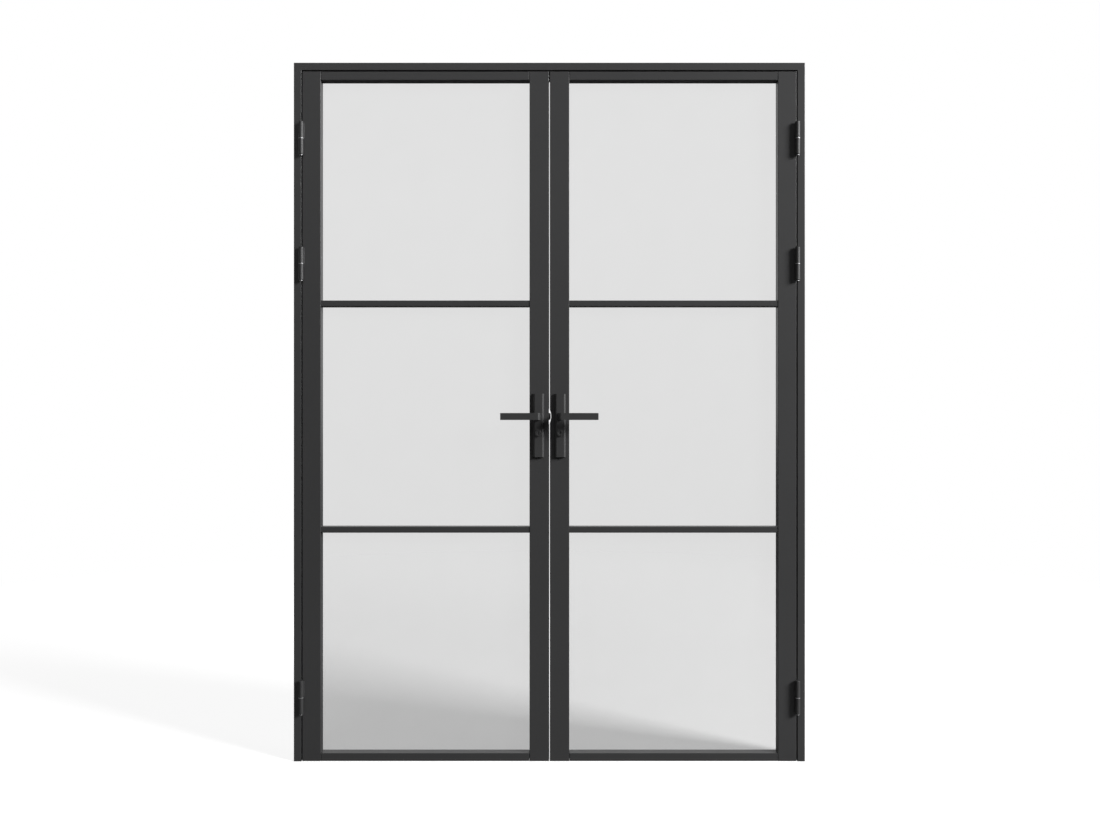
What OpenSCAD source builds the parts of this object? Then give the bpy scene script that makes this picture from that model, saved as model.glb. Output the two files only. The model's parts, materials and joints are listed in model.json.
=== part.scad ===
// Pair of glazed steel french doors, hung in a three-sided frame of steel tube.
// Millimetres, +Z up, +Y from the viewer through the doorway. The origin lies on the floor,
// in the middle of the pair and of the leaves' thickness. Leaf pieces are drawn for the left leaf
// and mirrored for the right one.

/* [Frame] */
// Overall width of the frame
frame_w = 1500; // [1300:10:1900]
// Overall height of the frame
frame_h = 2050; // [1980:10:2400]
// Width of the jamb and head faces
frame_face = 22; // [18:1:40]
// Depth of the frame, front to back
frame_d = 75; // [65:1:120]
// Wall of the frame tubes
frame_wall = 2; // [1.5:0.5:3]
// Distance of the outer wall fixings from the floor and from the top
fixing_end = 250; // [150:10:400]
// Distance of the inner wall fixings from the floor and from the top
fixing_inner = 750; // [500:10:900]
// Diameter of the wall fixing holes
fixing_d = 10; // [6:0.5:12]

/* [Stops and seal] */
// How far the stop bars stand into the doorway
stop_w = 12; // [10:1:20]
// Wall of the stop bars
stop_wall = 1.5; // [1:0.5:2]
// Space between the closed leaf and the stop bars
seal_gap = 3; // [2.5:0.5:6]
// Width of the seal strip
seal_w = 6; // [5:0.5:7]
// Thickness of the seal strip's flat foot
seal_foot = 1.2; // [0.8:0.1:1.5]
// Space between the seal's bulb and the closed leaf
seal_clear = 0.3; // [0.2:0.1:0.5]
// Joint between the side strips and the head strip of the seal
seal_joint = 0.3; // [0.2:0.1:1]

/* [Leaves] */
// Thickness of a leaf
leaf_t = 50; // [44:1:60]
// Gap between jamb and leaf
hinge_gap = 3; // [2.5:0.5:5]
// Gap between head and leaf
head_gap = 4; // [3:0.5:6]
// Gap between floor and leaf
floor_gap = 1; // [1:0.5:12]
// Gap between the two leaves
meeting_gap = 2.6; // [2.6:0.1:5]
// Face width of the hinge stiles
hinge_stile_w = 54; // [45:1:80]
// Face width of the meeting stiles
meeting_stile_w = 57; // [55:1:80]
// Face height of the top rails
top_rail_h = 25; // [20:1:60]
// Face height of the bottom rails
bottom_rail_h = 23; // [18:1:120]
// Wall of the leaf tubes
leaf_wall = 2; // [1.5:0.5:2.5]
// Radius of the tubes' outer edges
edge_r = 1.2; // [0.5:0.1:1.8]
// Chamfer on the front ends of the rails, which shows as a groove beside the stiles
rail_groove = 1.5; // [1.3:0.1:1.8]
// Joint between the front of a rail and the stiles
rail_joint = 0.6; // [0.2:0.1:1]

/* [Glazing] */
// Depth of the stiles and rails in front of the glazing
front_depth = 31; // [24:1:34]
// Cover of the stiles and rails over the glass edge
rebate_w = 10; // [8:0.5:12]
// Thickness of the glass
glass_t = 6; // [4:0.5:8]
// Thickness of the glazing tape on each side of the glass
tape_t = 1.5; // [1:0.5:2]
// Room left round the edges of the glass
glass_room = 1.5; // [1:0.5:3]
// How far the tape stays behind the sight line
tape_set = 0.8; // [0.4:0.1:1.5]
// Face height of the glazing bars
bar_face = 18; // [14:1:30]
// Thickness of the bars' stem between the panes
bar_stem = 4; // [3:0.5:6]
// How far the bars stand back from the leaf's face
bar_set = 1.5; // [0.5:0.5:4]
// Radius of the bars' front edges
bar_edge_r = 2.5; // [1:0.5:3]
// Face width of the beads in the stiles and rails
bead_w = 5; // [4:0.5:8]
// Face width of the beads on the bars
bar_bead_w = 4; // [3:0.5:6]
// Chamfer on the beads behind the glass
bead_chamfer = 2.5; // [1:0.5:2.5]
// Joint between the ends of two beads
bead_joint = 0.2; // [0.1:0.1:0.5]

/* [Hinges] */
// Height of the lowest hinge
low_hinge_z = 189; // [120:1:300]
// Distance of the top hinge below the leaf's top
top_hinge_drop = 198; // [120:1:320]
// Distance of the middle hinge below the top hinge
middle_hinge_drop = 367; // [200:1:900]
// Diameter of the hinge barrels
barrel_d = 14; // [10:0.5:14]
// Length of each half of a barrel
barrel_l = 49; // [35:0.5:70]
// Chamfer on the free ends of a barrel
barrel_chamfer = 2; // [0.5:0.5:3]
// Diameter of the ring between the halves
ring_d = 14.5; // [14.5:0.5:17]
// Thickness of the ring between the halves
ring_t = 2; // [1:0.5:5]
// Distance of the hinge axis in front of the leaf's face
axis_out = 8.5; // [8:0.5:14]
// Diameter of the hinge pins
pin_d = 8; // [5:0.5:9]
// How far a pin reaches into the upper half
pin_reach = 38; // [20:1:45]
// Thickness of a pin's head under the lower half
pin_head_t = 1.5; // [1:0.5:4]
// Running clearance of pins, journals and plugs, on the radius
run_clear = 0.05; // [0.02:0.01:0.1]
// Play between a turning piece and the piece beside it
side_play = 0.2; // [0.1:0.1:0.5]
// Thickness of the weld foot of a hinge half
foot_w = 4.5; // [3:0.5:5]
// How far the weld foot runs into the barrel
foot_weld = 0.5; // [0.3:0.1:1]

/* [Handles] */
// Height of the lever axis
lever_z = 1012; // [900:1:1100]
// Distance of the lever axis from the meeting edge
backset = 30.5; // [28:0.5:32]
// Distance from the axis to the lever's tip
lever_l = 110; // [90:1:140]
// Height of the lever bar
lever_h = 20; // [14:1:24]
// Thickness of the lever bar
lever_t = 12; // [8:0.5:14]
// Distance from the leaf's face to the lever's outer face
lever_out = 55; // [45:1:70]
// Outer radius of the lever's bend
lever_bend_r = 9; // [4:0.5:11]
// Radius in the inner corner of the lever's bend
lever_fillet_r = 4; // [1:0.5:8]
// Radius of the lever's journal
journal_r = 9; // [7:0.5:10]
// Side of the square spindle
spindle_s = 8; // [6:0.5:9]
// Room round the spindle's corners in the stile and the lock
spindle_room = 0.8; // [0.4:0.1:1.5]
// Length of the spindle
spindle_l = 104; // [96:1:110]
// Width of the backplates
plate_w = 33.5; // [28:0.5:36]
// Height of the backplates
plate_h = 185; // [170:1:240]
// Height of a backplate above the lever axis
plate_above = 66; // [62:1:90]
// Thickness of the backplates
plate_t = 10; // [8:0.5:12]
// Radius of the backplates' long front edges
plate_edge_r = 7; // [1:0.5:7]
// Wall of the collar round the journal
collar_wall = 2.5; // [2:0.5:4]
// How far the collar stands out of the backplate
collar_out = 2; // [1:0.5:4]
// Distance of the upper plate screw above the lever axis
screw_above = 53; // [50:1:56]
// Distance of the lower plate screw below the lever axis
screw_below = 104; // [95:1:106]
// Diameter of the plate screws
screw_d = 5; // [4:0.5:6]
// Diameter of the plate screws' heads
screw_head_d = 9; // [8:0.5:11]
// Width of the hexagon socket in the plate screws
screw_socket = 3; // [2.5:0.5:4]
// How far the screws reach into the front plate
screw_grip = 5; // [3:0.5:6]

/* [Lock] */
// Distance of the key cylinder below the lever axis
cylinder_below = 48; // [44:1:60]
// Diameter of the key cylinder
cylinder_d = 16; // [14:0.5:17]
// Wall of the collar round the key cylinder
cylinder_collar_wall = 2; // [1.5:0.5:3]
// How far the key cylinder's collar stands out of the backplate
cylinder_out = 6; // [3:0.5:9]
// Diameter of the turning plug
plug_d = 11; // [9:0.5:12]
// Reach of the cam from the plug's axis
cam_reach = 10.5; // [9:0.5:11]
// Width of the cam
cam_w = 8; // [6:0.5:10]
// Thickness of the cam
cam_t = 5.5; // [4:0.5:6]
// Width of the keyway
keyway_w = 1.8; // [1:0.1:2.5]
// Height and depth of the keyway
keyway_h = 7.5; // [6:0.5:8]
// Thickness of the forend plate
forend_t = 3; // [2:0.5:4]
// Width of the forend plate
forend_w = 22; // [20:1:24]
// Length of the forend plate
forend_l = 190; // [180:5:220]
// Thickness of the lock case
case_t = 20; // [18:0.5:24]
// Room between the lock case and the stile's rear wall
case_room = 0.5; // [0.3:0.1:1]
// Height of the lock case
case_h = 130; // [124:1:136]
// Wall of the lock case
case_wall = 1.5; // [1:0.5:2]
// Height of the latch bolt
latch_h = 20; // [14:1:24]
// Thickness of the latch bolt
latch_t = 10; // [8:0.5:12]
// How far the latch bolt stands out of the leaf
latch_out = 5.2; // [3.5:0.1:5.2]
// Length of the latch bolt behind the leaf's edge
latch_tail = 13.5; // [10:0.5:14]
// Height of the deadbolt
deadbolt_h = 24; // [18:1:28]
// Thickness of the deadbolt
deadbolt_t = 12; // [8:0.5:13]
// Throw of the deadbolt
deadbolt_throw = 12; // [10:0.5:12]
// Length of the deadbolt that stays in the lock when it is thrown
deadbolt_hold = 6; // [4:0.5:6]
// Clearance round the sliding bolts
bolt_clear = 0.3; // [0.2:0.1:0.5]
// Depth of the dished notch that the latch rests in
notch_depth = 4; // [3.8:0.1:5]
// Height of the dished notch
notch_h = 38; // [32:1:46]
// Thickness of the keep behind the notch
keep_t = 14; // [12:1:15]
// Height of the keep above the lever axis
keep_above = 30; // [26:1:40]
// Height of the keep below the key cylinder
keep_below = 24; // [20:1:40]

/* [Flush bolts] */
// Diameter of the flush bolts
flush_d = 12; // [8:0.5:14]
// Length of the flush bolts
flush_l = 220; // [150:5:300]
// Distance of the flush bolts from the meeting edge
flush_inset = 14; // [10:0.5:18]
// Throw of the flush bolts
flush_throw = 15; // [8:1:18]
// How far the drawn flush bolts lie inside the leaf's ends
flush_set = 1; // [0.5:0.5:2]
// Height of the flush bolts' thumb slides
slide_h = 16; // [10:1:24]
// Width of the flush bolts' thumb slides
slide_w = 10; // [6:0.5:12]
// Room round a flush bolt in the head
flush_room = 0.8; // [0.5:0.1:1.5]

/* [Hidden] */
$fn = 48;
through = 400;
cut = 1;
bar_count = 2;
half_w = frame_w / 2;
jamb_x = half_w - frame_face;
leaf_x = jamb_x - hinge_gap;
meet_x = meeting_gap / 2;
head_z = frame_h - frame_face;
leaf_top = head_z - head_gap;
leaf_bottom = floor_gap;
leaf_h = leaf_top - leaf_bottom;
leaf_front = -leaf_t / 2;
leaf_back = leaf_t / 2;
frame_back = leaf_front + frame_d;
stop_y = leaf_back + seal_gap;
stop_d = frame_back - stop_y;
step_y = leaf_front + front_depth;
glass_y = step_y + tape_t;
rear_tape_y = glass_y + glass_t;
bead_y = rear_tape_y + tape_t;
bead_d = leaf_back - bead_y;
light_x0 = -(leaf_x - hinge_stile_w);
light_x1 = -(meet_x + meeting_stile_w);
light_w = light_x1 - light_x0;
light_z0 = leaf_bottom + bottom_rail_h;
light_z1 = leaf_top - top_rail_h;
light_h = (light_z1 - light_z0 - bar_count * bar_face) / (bar_count + 1);
bar_rebate = (bar_face - bar_stem) / 2;
axis_x = jamb_x - hinge_gap / 2;
axis_y = leaf_front - axis_out;
top_hinge_z = leaf_top - top_hinge_drop;
hinge_zs = [low_hinge_z, top_hinge_z - middle_hinge_drop, top_hinge_z];
lower_half_l = barrel_l - pin_head_t;
handle_x = meet_x + backset;
cylinder_z = lever_z - cylinder_below;
cylinder_reach = leaf_t / 2 + plate_t + cylinder_out;
plate_bottom = lever_z + plate_above - plate_h;
forend_bottom = plate_bottom + (plate_h - forend_l) / 2;
case_bottom = (lever_z + cylinder_z - case_h) / 2;
notch_r = (notch_h * notch_h / 4 + notch_depth * notch_depth) / (2 * notch_depth);
keep_bottom = cylinder_z - keep_below;
keep_top = lever_z + keep_above;
spindle_hole_r = spindle_s * sqrt(2) / 2 + spindle_room;
metal = "#3d3e40";
hardware = "#303133";
steel = "#b9bbbd";
clear_glass = [0.78, 0.82, 0.82, 0.4];
rubber = "#1c1c1d";

// Puts a piece drawn for the left side on the side asked for
module on_side(side) {
    if (side == "right") mirror([1, 0, 0]) children();
    else children();
}

// Lays a section along X, its own x upwards, and runs it from x1 down by a length
module along_x(x1, z, length) {
    translate([x1, 0, z]) rotate([0, -90, 0]) linear_extrude(length) children();
}

// Stands children on the leaf's front face at the handle's line, pointing at the viewer
module on_face(z) {
    translate([-handle_x, leaf_front, z]) rotate([90, 0, 0]) children();
}

// Centres children on the handle's line in the middle of the leaf, along Y
module across_leaf(z) {
    translate([-handle_x, 0, z]) rotate([90, 0, 0]) children();
}

// Rectangle with four rounded corners
module soft_rect(w, d, r) {
    translate([0, r]) square([w, d - 2 * r]);
    translate([r, 0]) square([w - 2 * r, d]);
    for (x = [r, w - r], y = [r, d - r]) translate([x, y]) circle(r);
}

// Rectangle with its two front corners rounded
module soft_front_rect(w, d, r) {
    translate([0, r]) square([w, d - r]);
    translate([r, 0]) square([w - 2 * r, d]);
    intersection() {
        square([w, d]);
        for (x = [r, w - r]) translate([x, r]) circle(r);
    }
}

// The 45 degree plane of a frame corner, as the wedge above it or below it
module mitre(keep_head) {
    far = 2 * frame_face;
    corner = keep_head ? [-half_w - frame_face, frame_h - far] : [-half_w + far, frame_h + frame_face];
    rotate([90, 0, 0]) linear_extrude(through, center = true)
        polygon([[-half_w - frame_face, frame_h + frame_face], [-half_w + far, frame_h - far], corner]);
}

module frame_section(hollow) {
    inset = hollow ? frame_wall : 0;
    translate([inset, leaf_front + inset])
        if (hollow) square([frame_face - 2 * frame_wall, frame_d - 2 * frame_wall]);
        else soft_rect(frame_face, frame_d, edge_r);
}

module jamb(side) {
    color(metal) on_side(side) difference() {
        translate([-half_w, 0, 0]) linear_extrude(frame_h) frame_section(false);
        translate([-half_w, 0, -cut]) linear_extrude(frame_h + 2 * cut) frame_section(true);
        mitre(false);
        for (z = [fixing_end, fixing_inner, frame_h - fixing_inner, frame_h - fixing_end])
            translate([-half_w, 0, z]) rotate([0, 90, 0])
                cylinder(d = fixing_d, h = 4 * frame_face, center = true);
    }
}

module head() {
    color(metal) difference() {
        along_x(half_w, head_z, frame_w) frame_section(false);
        along_x(half_w + cut, head_z, frame_w + 2 * cut) frame_section(true);
        mitre(true);
        mirror([1, 0, 0]) mitre(true);
        translate([meet_x + flush_inset, 0, head_z])
            cylinder(r = flush_d / 2 + flush_room, h = 3 * frame_wall, center = true);
    }
}

module stop_section() {
    difference() {
        translate([0, stop_y]) soft_rect(stop_w, stop_d, edge_r);
        translate([stop_wall, stop_y + stop_wall]) square([stop_w - 2 * stop_wall, stop_d - 2 * stop_wall]);
    }
}

module side_stop(side) {
    color(metal) on_side(side) translate([-jamb_x, 0, 0]) linear_extrude(head_z) stop_section();
}

module head_stop() {
    color(metal) along_x(jamb_x - stop_w, head_z - stop_w, 2 * (jamb_x - stop_w)) stop_section();
}

// Foot on the stop's face and a round bulb that reaches towards the leaf
module seal_section() {
    bulb_r = (seal_gap - seal_clear) / 2;
    translate([0, stop_y - seal_foot]) square([seal_w, seal_foot]);
    translate([seal_w / 2, stop_y - bulb_r]) circle(bulb_r);
}

module frame_seal() {
    side_x = leaf_x - (stop_w - hinge_gap - seal_w) / 2;
    seal_z = head_z - stop_w + (stop_w - head_gap - seal_w) / 2;
    color(rubber) {
        for (side = ["left", "right"])
            on_side(side) translate([-side_x, 0, leaf_bottom])
                linear_extrude(seal_z - seal_joint - leaf_bottom) seal_section();
        along_x(side_x, seal_z, 2 * side_x) seal_section();
    }
}

// One half of a barrel hinge standing on z = 0 towards its free end, bored for the pin
module hinge_half(length, bore_r, bore_l) {
    difference() {
        union() {
            cylinder(d = barrel_d, h = length - barrel_chamfer);
            translate([0, 0, length - barrel_chamfer])
                cylinder(d1 = barrel_d, d2 = barrel_d - 2 * barrel_chamfer, h = barrel_chamfer);
        }
        translate([0, 0, -cut]) cylinder(r = bore_r, h = bore_l + cut);
    }
}

// Weld foot between a hinge half and the face behind it, towards +X
module hinge_foot() {
    foot_l = barrel_l - 3 * barrel_chamfer;
    difference() {
        translate([hinge_gap / 2, 0, barrel_chamfer / 2]) cube([foot_w, axis_out, foot_l]);
        translate([0, 0, -cut]) cylinder(r = barrel_d / 2 - foot_weld, h = barrel_l);
    }
}

module at_hinges(side) {
    on_side(side) for (z = hinge_zs) translate([-axis_x, axis_y, z]) children();
}

module frame_knuckles(side) {
    color(hardware) at_hinges(side) translate([0, 0, -ring_t / 2]) mirror([0, 0, 1]) {
        hinge_half(lower_half_l, pin_d / 2, barrel_l);
        mirror([1, 0, 0]) hinge_foot();
    }
}

module leaf_knuckles(side) {
    color(hardware) at_hinges(side) translate([0, 0, ring_t / 2 + run_clear]) {
        hinge_half(barrel_l, pin_d / 2 + run_clear, pin_reach + side_play);
        hinge_foot();
    }
}

// Pins with a flat head under the lower halves, which hold them
module hinge_pins(side) {
    color(steel) at_hinges(side) translate([0, 0, -ring_t / 2 - barrel_l]) {
        cylinder(d = barrel_d - 2 * barrel_chamfer, h = pin_head_t);
        cylinder(d = pin_d, h = barrel_l + ring_t + pin_reach - side_play);
    }
}

module hinge_rings(side) {
    color(steel) at_hinges(side) difference() {
        cylinder(d = ring_d, h = ring_t, center = true);
        cylinder(r = pin_d / 2 + run_clear, h = 2 * ring_t, center = true);
    }
}

// Outline of a stile or rail, x from the leaf's edge towards the glass
module member_section(face) {
    translate([0, leaf_front]) soft_front_rect(face, front_depth, edge_r);
    translate([0, leaf_front]) soft_rect(face - rebate_w, leaf_t, edge_r);
}

// Hollow inside a stile or rail
module member_hollow(face) {
    translate([leaf_wall, leaf_front + leaf_wall]) {
        square([face - 2 * leaf_wall, front_depth - 2 * leaf_wall]);
        square([face - rebate_w - 2 * leaf_wall, leaf_t - 2 * leaf_wall]);
    }
}

// Upright tube with a capped top, and a capped foot where asked for
module stile(face, capped_foot) {
    foot = capped_foot ? leaf_wall : -cut;
    difference() {
        translate([0, 0, leaf_bottom]) linear_extrude(leaf_h) member_section(face);
        translate([0, 0, leaf_bottom + foot])
            linear_extrude(leaf_h - leaf_wall - foot) member_hollow(face);
    }
}

module hinge_stile(side) {
    color(metal) on_side(side) translate([-leaf_x, 0, 0]) stile(hinge_stile_w, false);
}

// Holes for the spindle, the key cylinder and the plate screws
module handle_holes() {
    across_leaf(lever_z) cylinder(r = spindle_hole_r, h = through, center = true);
    across_leaf(cylinder_z) cylinder(d = cylinder_d, h = through, center = true);
    for (z = [lever_z + screw_above, lever_z - screw_below])
        across_leaf(z) cylinder(d = screw_d, h = through, center = true);
}

module forend_opening() {
    translate([-meet_x - 2 * forend_t, -forend_w / 2, forend_bottom])
        cube([3 * forend_t, forend_w, forend_l]);
}

// Dished notch across the whole edge, open to front and back
module latch_notch() {
    translate([-meet_x - notch_depth + notch_r, 0, lever_z]) rotate([90, 0, 0])
        cylinder(r = notch_r, h = through, center = true, $fn = 96);
}

module deadbolt_slot() {
    slot_t = deadbolt_t + 4 * bolt_clear;
    slot_h = deadbolt_h + 4 * bolt_clear;
    translate([-meet_x - 2 * keep_t, -slot_t / 2, cylinder_z - slot_h / 2])
        cube([3 * keep_t, slot_t, slot_h]);
}

// Guide hole in the stile's cap and slot for the thumb slide, for the bolt at the top
module flush_bolt_way() {
    slot_h = slide_h + flush_throw + 4 * bolt_clear;
    slot_w = slide_w + 4 * bolt_clear;
    translate([-meet_x - flush_inset, 0, leaf_top])
        cylinder(r = flush_d / 2 + run_clear, h = 4 * leaf_wall, center = true);
    translate([-meet_x - 2 * leaf_wall, -slot_w / 2, leaf_top - flush_l - 2 * bolt_clear])
        cube([3 * leaf_wall, slot_w, slot_h]);
}

// Turns what belongs at the top of a leaf over to its foot
module at_foot() {
    translate([0, 0, leaf_top + leaf_bottom]) mirror([0, 0, 1]) children();
}

module meeting_stile(side) {
    locked = side == "left";
    color(metal) on_side(side) difference() {
        translate([-meet_x, 0, 0]) mirror([1, 0, 0]) stile(meeting_stile_w, !locked);
        handle_holes();
        if (locked) forend_opening();
        else {
            latch_notch();
            deadbolt_slot();
            flush_bolt_way();
            at_foot() flush_bolt_way();
        }
    }
}

// Tube between the stiles, its rear part lengthened to the stiles' stepped sides
module rail_tube(face) {
    groove_s = rail_groove * sqrt(2);
    difference() {
        union() {
            along_x(light_x1 - rail_joint, 0, light_w - 2 * rail_joint) member_section(face);
            along_x(light_x1 + rebate_w, 0, light_w + 2 * rebate_w) intersection() {
                translate([0, leaf_front]) soft_rect(face - rebate_w, leaf_t, edge_r);
                translate([0, step_y]) square([face, leaf_t]);
            }
        }
        along_x(light_x1 + 2 * rebate_w, 0, light_w + 4 * rebate_w) member_hollow(face);
        for (x = [light_x0 + rail_joint, light_x1 - rail_joint])
            translate([x, leaf_front, 0]) rotate([0, 0, 45])
                cube([groove_s, groove_s, through], center = true);
    }
}

module top_rail(side) {
    color(metal) on_side(side) translate([0, 0, leaf_top]) mirror([0, 0, 1]) rail_tube(top_rail_h);
}

module bottom_rail(side) {
    color(metal) on_side(side) translate([0, 0, leaf_bottom]) rail_tube(bottom_rail_h);
}

// Bottom of a glazing bar, counted from the lowest
function bar_z(i) = light_z0 + (i + 1) * light_h + i * bar_face;

// Tee bar: a tube towards the viewer and a stem between the panes
module glazing_bar(side, i) {
    tube_d = front_depth - bar_set;
    color(metal) on_side(side) translate([0, 0, bar_z(i)]) difference() {
        union() {
            along_x(light_x1, 0, light_w)
                translate([0, leaf_front + bar_set]) soft_front_rect(bar_face, tube_d, bar_edge_r);
            along_x(light_x1 + rebate_w, 0, light_w + 2 * rebate_w)
                translate([bar_rebate, step_y]) square([bar_stem, leaf_back - step_y]);
        }
        along_x(light_x1 + cut, 0, light_w + 2 * cut)
            translate([leaf_wall, leaf_front + bar_set + leaf_wall])
                square([bar_face - 2 * leaf_wall, tube_d - 2 * leaf_wall]);
    }
}

// Foot of a light, and the cover of its lower and upper edges
function light_low(i) = light_z0 + i * (light_h + bar_face);
function low_cover(i) = i == 0 ? rebate_w : bar_rebate;
function high_cover(i) = i == bar_count ? rebate_w : bar_rebate;

// Face width of the beads at a light's lower and upper edges
function low_bead(i) = i == 0 ? bead_w : bar_bead_w;
function high_bead(i) = i == bar_count ? bead_w : bar_bead_w;

// Rectangle round light i in the XZ plane, grown at its sides, its foot and its top
module grown_light(i, side, low, high) {
    translate([light_x0 - side, light_low(i) - low])
        square([light_w + 2 * side, light_h + low + high]);
}

module glass_outline(i) {
    grown_light(i, rebate_w - glass_room, low_cover(i) - glass_room, high_cover(i) - glass_room);
}

// Flat sheet of a light's outline from y by a thickness
module upright_sheet(y, thickness) {
    translate([0, y + thickness, 0]) rotate([90, 0, 0]) linear_extrude(thickness) children();
}

module pane(side, i) {
    color(clear_glass) on_side(side) upright_sheet(glass_y, glass_t) glass_outline(i);
}

// Tape rings round each pane, in front hidden by the rebates and behind by the beads
module glazing_tapes(side) {
    color(rubber) on_side(side) for (i = [0 : bar_count]) {
        upright_sheet(step_y, tape_t) difference() {
            glass_outline(i);
            grown_light(i, tape_set, tape_set, tape_set);
        }
        upright_sheet(rear_tape_y, tape_t) difference() {
            glass_outline(i);
            grown_light(i, rebate_w - bead_w + tape_set, low_cover(i) - low_bead(i) + tape_set,
                high_cover(i) - high_bead(i) + tape_set);
        }
    }
}

// Bead section, x from the rebate's side towards the sight line
module bead_section(w) {
    translate([0, bead_y])
        polygon([[0, 0], [w, 0], [w, bead_d - bead_chamfer], [w - bead_chamfer, bead_d], [0, bead_d]]);
}

module glazing_beads(side) {
    bead_x = light_x1 + rebate_w - bead_w - bead_joint;
    bead_l = light_w + 2 * (rebate_w - bead_w - bead_joint);
    color(metal) on_side(side) for (i = [0 : bar_count]) {
        low = light_low(i) - low_cover(i);
        high = light_low(i) + light_h + high_cover(i);
        translate([light_x0 - rebate_w, 0, low]) linear_extrude(high - low) bead_section(bead_w);
        translate([light_x1 + rebate_w, 0, low]) mirror([1, 0, 0])
            linear_extrude(high - low) bead_section(bead_w);
        along_x(bead_x, low, bead_l) bead_section(low_bead(i));
        translate([0, 0, high]) mirror([0, 0, 1]) along_x(bead_x, 0, bead_l) bead_section(high_bead(i));
    }
}

// Backplate with its two collars, as on the front of the left leaf
module backplate() {
    translate([-handle_x - plate_w / 2, leaf_front - plate_t, plate_bottom])
        linear_extrude(plate_h) soft_front_rect(plate_w, plate_t, plate_edge_r);
    on_face(lever_z) cylinder(r = journal_r + run_clear + collar_wall, h = plate_t + collar_out);
    on_face(cylinder_z) cylinder(r = cylinder_d / 2 + cylinder_collar_wall, h = plate_t + cylinder_out);
}

module backplate_bores() {
    on_face(lever_z) cylinder(r = journal_r + run_clear, h = through, center = true);
    on_face(cylinder_z) cylinder(d = cylinder_d, h = through, center = true);
}

// Countersunk screw, its head's top on z = 0, running down by its length
module plate_screw(length) {
    head_h = (screw_head_d - screw_d) / 2;
    translate([0, 0, -length]) cylinder(d = screw_d, h = length);
    translate([0, 0, -head_h]) cylinder(d1 = screw_d, d2 = screw_head_d, h = head_h);
}

// Puts children at both screws, on the rear plate's face and pointing backwards
module at_screws() {
    for (z = [lever_z + screw_above, lever_z - screw_below])
        mirror([0, 1, 0]) on_face(z) translate([0, 0, plate_t]) children();
}

module front_plate(side) {
    color(hardware) on_side(side) difference() {
        backplate();
        backplate_bores();
        for (z = [lever_z + screw_above, lever_z - screw_below])
            on_face(z) cylinder(d = screw_d, h = 2 * screw_grip, center = true);
    }
}

module rear_plate(side) {
    color(hardware) on_side(side) difference() {
        mirror([0, 1, 0]) backplate();
        mirror([0, 1, 0]) backplate_bores();
        at_screws() plate_screw(2 * plate_t);
    }
}

module plate_screws(side) {
    color(steel) on_side(side) at_screws() difference() {
        plate_screw(plate_t + leaf_t + screw_grip);
        translate([0, 0, -screw_d / 2]) cylinder(d = screw_socket, h = screw_d, $fn = 6);
    }
}

// Two fixed barrels with room between them for the cam
module key_cylinder(side) {
    barrel = cylinder_reach - cam_w / 2 - side_play;
    color(hardware) on_side(side) across_leaf(cylinder_z) for (turn = [0, 1]) mirror([0, 0, turn])
        translate([0, 0, cam_w / 2 + side_play]) difference() {
            cylinder(d = cylinder_d, h = barrel);
            translate([0, 0, -cut]) cylinder(r = plug_d / 2 + run_clear, h = barrel + 2 * cut);
        }
}

// Turning plug with a keyway in each end and the cam that throws the bolt
module cylinder_plug(side) {
    color(hardware) on_side(side) across_leaf(cylinder_z) difference() {
        union() {
            cylinder(d = plug_d, h = 2 * cylinder_reach, center = true);
            cylinder(d = cylinder_d, h = cam_w, center = true);
            translate([-cam_t / 2, -cam_reach, -cam_w / 2]) cube([cam_t, cam_reach, cam_w]);
        }
        for (turn = [0, 1]) mirror([0, 0, turn])
            translate([-keyway_w / 2, -keyway_h / 2, cylinder_reach - keyway_h])
                cube([keyway_w, keyway_h, 2 * keyway_h]);
    }
}

// Plan of the lever: the arm along X, the neck along Y and a round bend between them
module lever_plan() {
    outer_y = leaf_front - lever_out;
    neck_y = leaf_front - plate_t - collar_out - side_play;
    arm_x = -handle_x - lever_l;
    bend_x = -handle_x + lever_t / 2;
    inner_x = bend_x - lever_t;
    inner_y = outer_y + lever_t;
    translate([arm_x, outer_y]) soft_rect(bend_x - lever_bend_r - arm_x, lever_t, edge_r);
    translate([inner_x, outer_y + lever_bend_r]) square([lever_t, neck_y - outer_y - lever_bend_r]);
    translate([bend_x - lever_bend_r, outer_y + lever_bend_r]) circle(lever_bend_r);
    translate([inner_x - edge_r, outer_y]) square([bend_x - lever_bend_r - inner_x + edge_r, lever_t]);
    difference() {
        translate([inner_x - lever_fillet_r, inner_y - edge_r])
            square([lever_fillet_r + edge_r, lever_fillet_r + edge_r]);
        translate([inner_x - lever_fillet_r, inner_y + lever_fillet_r]) circle(lever_fillet_r);
    }
}

// Lever with its journal and square socket, as on the front of the left leaf
module lever() {
    journal_l = plate_t + collar_out + lever_t / 2 - side_play;
    difference() {
        union() {
            translate([0, 0, lever_z - lever_h / 2]) linear_extrude(lever_h) lever_plan();
            on_face(lever_z) translate([0, 0, side_play]) cylinder(r = journal_r, h = journal_l);
        }
        across_leaf(lever_z) cube([spindle_s, spindle_s, spindle_l], center = true);
    }
}

module front_lever(side) {
    color(hardware) on_side(side) lever();
}

module rear_lever(side) {
    color(hardware) on_side(side) mirror([0, 1, 0]) lever();
}

module spindle(side) {
    color(steel) on_side(side) across_leaf(lever_z) cube([spindle_s, spindle_s, spindle_l], center = true);
}

// Bar along X with its end at x1, centred on a height
module bolt_bar(x1, z, length, t, h) {
    translate([x1 - length, -t / 2, z - h / 2]) cube([length, t, h]);
}

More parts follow.
